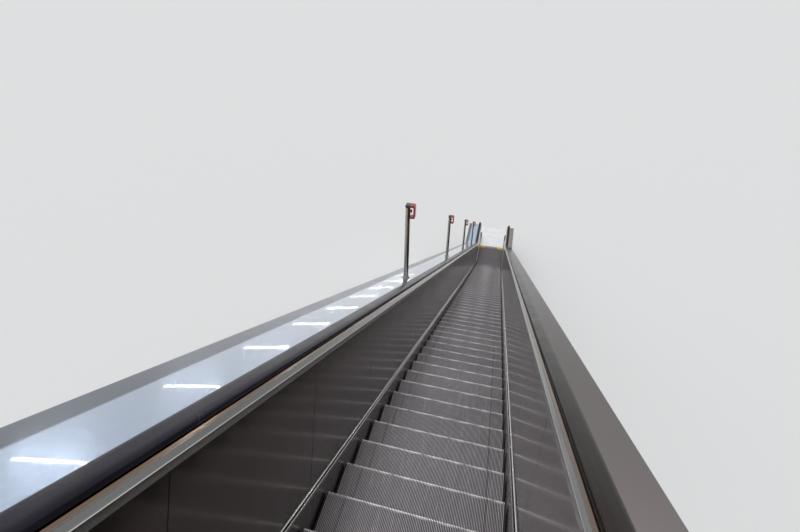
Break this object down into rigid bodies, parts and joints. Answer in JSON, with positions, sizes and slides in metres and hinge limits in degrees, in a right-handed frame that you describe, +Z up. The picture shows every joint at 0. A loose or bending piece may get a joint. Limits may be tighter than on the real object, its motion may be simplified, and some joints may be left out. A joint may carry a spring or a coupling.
{
  "type": "heavy duty escalator with closed steel balustrades",
  "caption": "Long inclined escalator with grooved moving steps, closed steel balustrades, black handrails, a wide steel deck with stop posts and an open truss below.",
  "frame": {"origin": "middle of the bearing face under the lower support bracket", "axes": "+Z up, +Y along the unit uphill, +X across towards the wide deck, which is on the left for someone going down"},
  "size_m": [1.96, 30.1289, 15.421],
  "materials": {
    "truss_paint": "satin",
    "track_steel": "satin",
    "machine_paint": "satin",
    "tread_aluminium": "satin",
    "roller_rubber": "matte",
    "comb_yellow": "satin",
    "floor_steel": "satin",
    "skirt_steel": "satin",
    "cover_steel": "satin",
    "panel_steel": "satin",
    "profile_steel": "satin",
    "handrail_rubber": "satin",
    "deck_steel": "satin",
    "post_steel": "gloss",
    "stop_red": "gloss"
  },
  "bodies": {
    "root": {"truss_left_lower": "truss_paint", "truss_left_flight": "truss_paint", "truss_left_upper": "truss_paint", "truss_right_lower": "truss_paint", "truss_right_flight": "truss_paint", "truss_right_upper": "truss_paint", "truss_cross_bars": "truss_paint", "soffit_plates": "truss_paint", "lower_end_plate": "truss_paint", "upper_end_plate": "truss_paint", "lower_bracket": "truss_paint", "upper_bracket": "truss_paint", "track_left": "track_steel", "track_right": "track_steel", "step_chain_left": "track_steel", "step_chain_right": "track_steel", "lower_turn_wheels": "track_steel", "upper_drive_wheels": "track_steel", "drive_machine": "machine_paint", "flight_steps": "tread_aluminium", "landing_steps": "tread_aluminium", "return_steps": "tread_aluminium", "step_rollers": "roller_rubber", "lower_comb": "comb_yellow", "upper_comb": "comb_yellow", "lower_floor_plate": "floor_steel", "upper_floor_plate": "floor_steel", "floor_bars": "truss_paint", "skirt_left": "skirt_steel", "skirt_right": "skirt_steel", "skirt_cover_left": "cover_steel", "skirt_cover_right": "cover_steel", "inner_panels_left": "panel_steel", "inner_panels_right": "panel_steel", "rail_profile_left": "profile_steel", "rail_profile_right": "profile_steel", "handrail_guide_left": "track_steel", "handrail_guide_right": "track_steel", "handrail_left": "handrail_rubber", "handrail_right": "handrail_rubber", "lower_newels": "panel_steel", "upper_newels": "panel_steel", "newel_plinths": "panel_steel", "handrail_inlets": "handrail_rubber", "wide_deck": "deck_steel", "narrow_deck": "deck_steel", "deck_brackets": "truss_paint", "skirt_brackets": "truss_paint", "outer_panels": "deck_steel", "stop_posts": "post_steel", "stop_heads": "stop_red"}
  },
  "joints": []
}
